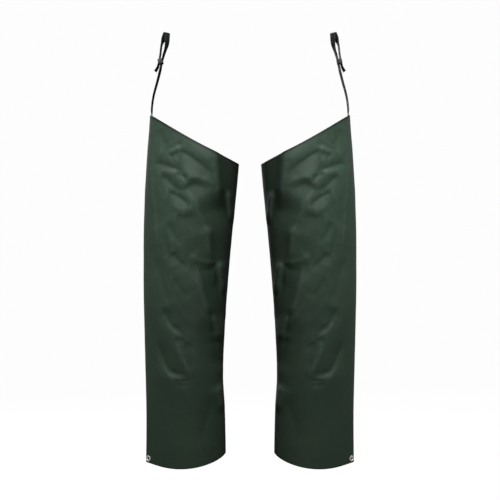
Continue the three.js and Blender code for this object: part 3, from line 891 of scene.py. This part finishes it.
def strap_line(side):
    """The centreline of one strap seen from the front, from its sewn end to its free end."""
    low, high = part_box(f"{side}_slider")
    centre = (low + high) / 2 / MM
    sign = SIDES[side]
    slide = joint(f"{side}_slider_slide")["axis"]
    lean_s, lean_c = abs(slide[0]), slide[2]
    pivot = Vector(joint(f"{side}_leg_swing")["pos_m"]) / MM
    sewn_low, sewn_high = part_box(f"{side}_strap_sewn_end")
    sewn_x = (sewn_low.x + sewn_high.x) / 2 / MM * sign
    _, strap_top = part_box(f"{side}_belt_strap")

    def up(u, w):
        x, z = centre.x * sign, centre.z
        return (x + u * lean_c - w * lean_s, z + u * lean_s + w * lean_c)

    # Heights above the keeper and half the gap between the two arms of the hanging loop.
    arms = [(17, 4.2), (29, 5.4), (44, 6.4), (55, 5.8), (64, 4.4)]
    fold = 3.0
    top = (strap_top.z / MM - HALF_THICKNESS - centre.z) / lean_c - fold
    line = [
        (sewn_x, sewn_low.z / MM),
        (sewn_x, pivot.z - 14),
        (sewn_x + 0.1, pivot.z),
        (sewn_x - 1.4, pivot.z + 18),
        up(-0.8, -84),
        up(-2.6, -50),
        up(-STRAND, -24),
        up(-STRAND, -12),
        up(-STRAND, 0),
    ]
    line += [up(-gap, height) for height, gap in arms]
    line += [
        up(fold * math.cos(turn), top + fold * math.sin(turn))
        for turn in np.linspace(math.pi, 0, 9)
    ]
    line += [up(gap, height) for height, gap in arms[::-1]]
    line += [
        up(STRAND, 0),
        up(STRAND, -13),
        up(STRAND + 1.0, -18),
        up(STRAND + 4.2, -27),
    ]
    return np.array(line)


def ribbon(side):
    """The whole strap as one length of webbing, with softly rounded edges and a slight twist."""
    sign = SIDES[side]
    line = smooth_line(strap_line(side), 420)
    run = np.concatenate([[0], np.cumsum(np.linalg.norm(np.diff(line, axis=0), axis=1))])
    slider_low, slider_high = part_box(f"{side}_slider")
    middle = (slider_low.z + slider_high.z) / 2 / MM
    above = line[:, 1] - middle
    returning = run > run[np.argmax(line[:, 1])]
    # Degrees of twist at heights above the keeper, for the first strand and the returning one.
    first = np.interp(above, [-136, -124, -70, -25, 0, 29, 44, 59], [0, 7, 9, 12, 7, 13.5, 27, 34])
    second = np.interp(above, [-26, -8, 0, 44, 59], [16, 9, 6, 8, 34])
    twist = np.radians(np.where(returning, second, first))
    # The top of the loop is turned as a whole about the strap's long axis.
    slide = joint(f"{side}_slider_slide")["axis"]
    axis_x = abs(slider_low.x + slider_high.x) / 2 / MM - above * abs(slide[0]) / slide[2]
    turned = np.radians(np.interp(above, [40, 59], [0, 34]))
    off = line[:, 0] - axis_x
    centre = np.stack([axis_x + off * np.cos(turned), off * np.sin(turned), line[:, 1]], -1)
    along = np.gradient(centre, axis=0)
    along /= np.linalg.norm(along, axis=1, keepdims=True)
    wide = np.stack([-np.sin(twist), np.cos(twist), 0 * twist], -1)
    wide -= (wide * along).sum(-1, keepdims=True) * along
    wide /= np.linalg.norm(wide, axis=1, keepdims=True)
    thick_way = np.cross(wide, along)
    turn = np.linspace(0, 2 * math.pi, 24, endpoint=False)
    c, s = np.cos(turn), np.sin(turn)
    wide_part = np.copysign(np.abs(c) ** 0.16, c) * HALF_WEBBING
    thick_part = np.copysign(np.abs(s) ** 0.6, s) * HALF_THICKNESS
    profile = np.stack([wide_part, thick_part], -1)
    points = (
        centre[:, None]
        + profile[None, :, :1] * wide[:, None]
        + profile[None, :, 1:] * thick_way[:, None]
    )
    rows, cols = points.shape[:2]
    i = np.arange(rows * cols).reshape(rows, cols)
    j = np.roll(i, -1, 1)
    faces = [tuple(q) for q in np.stack([i[:-1], i[1:], j[1:], j[:-1]], -1).reshape(-1, 4)]
    faces += [tuple(i[0]), tuple(i[-1][::-1])]
    if sign < 0:
        faces = [f[::-1] for f in faces]
    piece = new_mesh(f"{side}_webbing", mirror_if(points.reshape(-1, 3), sign) * MM, faces)
    flat = np.stack(
        [np.broadcast_to(profile[:, 0], (rows, cols)), np.broadcast_to(run[:, None], (rows, cols))], -1
    )
    add_uv(piece, flat.reshape(-1, 2) * MM)
    piece.data.materials.append(MATERIAL["webbing"])
    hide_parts(f"{side}_belt_strap", f"{side}_strap_sewn_end")
    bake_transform(piece)
    return piece


# ---------------------------------------------------------------- hard pieces


def rounded_block(size, radius, segments):
    """A block about the origin with its edges rounded."""
    mesh = bmesh.new()
    bmesh.ops.create_cube(mesh, size=1.0)
    bmesh.ops.scale(mesh, vec=size, verts=mesh.verts)
    bmesh.ops.bevel(
        mesh, geom=mesh.edges[:], offset=radius, segments=segments, profile=0.6, affect="EDGES"
    )
    return mesh


def slider(side):
    """The moulded keeper: a rounded block with two slots and grip ribs on its outer face."""
    low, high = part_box(f"{side}_slider")
    centre = (low + high) / 2
    sign = SIDES[side]
    slide = joint(f"{side}_slider_slide")["axis"]
    mesh = bpy.data.meshes.new(f"{side}_keeper")
    block = rounded_block(Vector(KEEPER) * MM, 1.3 * MM, 4)
    block.to_mesh(mesh)
    block.free()
    piece = bpy.data.objects.new(f"{side}_keeper", mesh)
    bpy.context.scene.collection.objects.link(piece)
    cutters = []
    for offset in (-STRAND, STRAND):
        cut_mesh = bpy.data.meshes.new("slot")
        cut = rounded_block(Vector(SLOT) * MM, 0.4 * MM, 2)
        cut.to_mesh(cut_mesh)
        cut.free()
        cutter = bpy.data.objects.new("slot", cut_mesh)
        bpy.context.scene.collection.objects.link(cutter)
        cutter.location.x = offset * MM
        cutters.append(cutter)
        boolean = piece.modifiers.new("slot", "BOOLEAN")
        boolean.operation, boolean.object, boolean.solver = "DIFFERENCE", cutter, "EXACT"
    edge = piece.modifiers.new("edge", "BEVEL")
    edge.width, edge.segments = 0.35 * MM, 2
    edge.limit_method, edge.angle_limit = "ANGLE", 0.9
    bpy.context.view_layer.update()
    shaped = piece.evaluated_get(bpy.context.evaluated_depsgraph_get())
    done = bpy.data.meshes.new_from_object(shaped)
    piece.modifiers.clear()
    piece.data = done
    for cutter in cutters:
        bpy.data.objects.remove(cutter)
    ribs = bmesh.new()
    ribs.from_mesh(done)
    for level in (-3.0, -1.0, 1.0, 3.0):
        rib = rounded_block(Vector(GRIP_RIB) * MM, 0.3 * MM, 2)
        bmesh.ops.translate(rib, vec=Vector((6.0, 0, level)) * MM, verts=rib.verts)
        part = bpy.data.meshes.new("rib")
        rib.to_mesh(part)
        rib.free()
        ribs.from_mesh(part)
        bpy.data.meshes.remove(part)
    ribs.to_mesh(done)
    ribs.free()
    done.polygons.foreach_set("use_smooth", [True] * len(done.polygons))
    done.set_sharp_from_angle(angle=0.7)
    piece.location = centre
    lean = math.atan2(abs(slide[0]), slide[2])
    piece.rotation_euler = (0, -lean if sign > 0 else lean, 0 if sign > 0 else math.pi)
    piece.rotation_mode = "XYZ"
    piece.data.materials.clear()
    piece.data.materials.append(MATERIAL["plastic"])
    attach(piece, f"{side}_slider")
    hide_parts(f"{side}_slider")
    return piece


def lathe(name, profile, steps=72):
    """A turned ring about Z from a closed outline of (radius, height)."""
    turn = np.linspace(0, 2 * math.pi, steps, endpoint=False)
    profile = np.array(profile, float)
    points = np.stack(
        [
            np.outer(np.cos(turn), profile[:, 0]),
            np.outer(np.sin(turn), profile[:, 0]),
            np.broadcast_to(profile[:, 1], (steps, len(profile))),
        ],
        -1,
    )
    i = np.arange(steps * len(profile)).reshape(steps, len(profile))
    j, k = np.roll(i, -1, 0), np.roll(i, -1, 1)
    faces = np.stack([i, j, np.roll(j, -1, 1), k], -1).reshape(-1, 4)
    return new_mesh(name, points.reshape(-1, 3) * MM, faces)


def rolled(radius_inner, radius_outer, base, height, count=14):
    """A rolled-over flange: half round at both edges and domed between them."""
    arc = np.linspace(math.pi, 0, count)
    middle, half = (radius_inner + radius_outer) / 2, (radius_outer - radius_inner) / 2
    return [(middle + half * math.cos(a), base + height * math.sin(a) ** 0.7) for a in arc]


def eyelet(side):
    """The nickel eyelet and its washer, facing the way the part's own eyelet faces."""
    seat, normal = eyelet_seat(side)
    turn = normal.to_track_quat("Z", "Y")
    pieces = []
    outline = rolled(3.5, 7.5, 0.0, 1.25) + [(7.2, -0.1), (4.1, -0.1), (4.1, -3.6), (3.5, -3.6)]
    flange = lathe(f"{side}_eyelet_ring", outline)
    washer = lathe(
        f"{side}_eyelet_back", [(4.5, -3.2), (7.4, -3.2), (7.5, -2.9), (7.3, -2.6), (4.5, -2.6)]
    )
    for piece, node_name in ((flange, "eyelet"), (washer, "eyelet_washer")):
        piece.data.set_sharp_from_angle(angle=0.8)
        piece.data.materials.append(MATERIAL["metal"])
        piece.rotation_mode = "QUATERNION"
        piece.rotation_quaternion = turn
        piece.location = seat
        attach(piece, f"{side}_leg")
        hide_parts(f"{side}_{node_name}")
        pieces.append(piece)
    return pieces


def strap_patch(side, sign):
    """A square of cloth inside the wall behind the sewn webbing."""
    low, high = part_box(f"{side}_strap_patch")
    centre_x = (low.x + high.x) / 2
    rows, cols = 20, 16
    y = np.linspace(low.y, high.y, cols)
    z = np.linspace(high.z, low.z, rows)
    bow = 0.0006 * np.cos(np.linspace(-1.5, 1.5, cols))
    grid = np.zeros((rows, cols, 3))
    grid[..., 0] = centre_x + sign * bow
    grid[..., 1], grid[..., 2] = np.meshgrid(y, z)
    inner = grid.copy()
    inner[..., 0] -= sign * 0.0006
    piece = shell(f"{side}_strap_backing", grid, inner, sign < 0)
    piece.data.materials.append(MATERIAL["inside"])
    piece.data.materials.append(MATERIAL["inside"])
    flat = np.stack([grid[..., 1], grid[..., 2]], -1).reshape(-1, 2)
    add_uv(piece, np.concatenate([flat, flat]))
    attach(piece, f"{side}_leg")
    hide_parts(f"{side}_strap_patch")
    return piece


# ---------------------------------------------------------------- stage


def studio():
    """A round white sweep, a key and an edge light for each leg, and soft lights all round."""
    floor_z, radius, wall, bend = -1.32, 20.0, 9.0, 4.0
    outline = [(0.001, floor_z), (radius - bend, floor_z)]
    outline += [
        (radius - bend + bend * math.sin(a), floor_z + bend - bend * math.cos(a))
        for a in np.linspace(0.1, math.pi / 2, 12)
    ]
    outline += [
        (radius * math.cos(a), wall + radius * math.sin(a)) for a in np.linspace(0, math.pi / 2, 12)
    ]
    turns = np.linspace(0, 2 * math.pi, 49)
    points = np.array([[(r * math.cos(t), r * math.sin(t), z) for r, z in outline] for t in turns])
    i = np.arange(points.shape[0] * points.shape[1]).reshape(points.shape[:2])
    faces = np.stack([i[:-1, :-1], i[1:, :-1], i[1:, 1:], i[:-1, 1:]], -1).reshape(-1, 4)
    sweep = new_mesh("sweep", points.reshape(-1, 3), faces)
    paper = Nodes("paper")
    paper.set(Base_Color=(0.04, 0.04, 0.04, 1), Roughness=0.9)
    paper.shader.inputs["Specular IOR Level"].default_value = 0.0
    paper.shader.inputs["Emission Color"].default_value = (1, 1, 1, 1)
    paper.shader.inputs["Emission Strength"].default_value = 0.98
    sweep.data.materials.append(paper.material)
    # The paper shows white behind the cloth without greying it with light from all round.
    sweep.visible_diffuse = sweep.visible_glossy = sweep.visible_shadow = False

    world = bpy.data.worlds.new("studio")
    bpy.context.scene.world = world
    world.use_nodes = True
    background = world.node_tree.nodes["Background"]
    background.inputs["Color"].default_value = (1, 1, 1, 1)
    background.inputs["Strength"].default_value = 0.06

    for side, sign in SIDES.items():
        place, aim = (sign * 0.50, -1.05, 0.75), (sign * 0.16, 0, -0.55)
        key = soft_light(f"{side}_key", place, aim, (0.6, 0.5), 34.5)
        place, aim = (sign * 2.2, -0.1, -0.2), (sign * 0.2, 0, -0.6)
        edge = soft_light(f"{side}_edge", place, aim, (0.4, 1.2), 1.6)
        edge.data.color = (1.0, 0.93, 0.78)
        for light in (key, edge):
            light.light_linking.receiver_collection = lit_pieces[side]
    soft_light("overhead", (0, -0.3, 2.2), (0, 0, -0.6), (2.4, 1.6), 5)
    soft_light("back", (-0.8, 2.3, 1.1), (0, 0, -0.6), (1.2, 0.9), 110)
    soft_light("front_fill", (0, -3.9, 0.3), (0, 0, -0.8), (2.5, 2.0), 4)
    low_fill = soft_light("low_fill", (0, -1.0, -1.2), (0, 0, -0.75), (0.5, 0.3), 0.7)
    low_fill.data.color = (1.0, 0.92, 0.8)


def soft_light(name, place, aim, size, power):
    """A rectangular light that the camera doesn't see."""
    data = bpy.data.lights.new(name, "AREA")
    data.shape, data.size, data.size_y, data.energy = "RECTANGLE", size[0], size[1], power
    light = bpy.data.objects.new(name, data)
    bpy.context.scene.collection.objects.link(light)
    light.visible_camera = False
    light.location = place
    light.rotation_mode = "QUATERNION"
    light.rotation_quaternion = (Vector(aim) - Vector(place)).to_track_quat("-Z", "Y")
    return light


def camera():
    """Straight on, level with the middle of the picture, as far off as a studio lens stands."""
    data = bpy.data.cameras.new("camera")
    distance, width, level = 3.5, 1.25, -0.542
    data.sensor_width = 36.0
    data.lens = data.sensor_width * distance / width
    data.clip_end = 100
    eye = bpy.data.objects.new("camera", data)
    bpy.context.scene.collection.objects.link(eye)
    eye.location = (0, -distance, level)
    eye.rotation_euler = (math.pi / 2, 0, 0)
    bpy.context.scene.camera = eye
    bpy.context.scene.view_settings.view_transform = "Standard"


# ---------------------------------------------------------------- assembly

cloth = Cloth()
lit_pieces = {}
for side, sign in SIDES.items():
    pieces = [panel(cloth, side, sign, front) for front in (True, False)]
    pieces += [hem_band(cloth, side, sign, top) for top in (True, False)]
    pieces += [seam_tape(cloth, side, sign, outer) for outer in (True, False)]
    pieces += [leg_stitching(cloth, side, sign), strap_patch(side, sign)]
    pieces += [ribbon(side), slider(side), *eyelet(side)]
    lit_pieces[side] = bpy.data.collections.new(f"{side}_lit")
    for piece in pieces:
        lit_pieces[side].objects.link(piece)
studio()
camera()
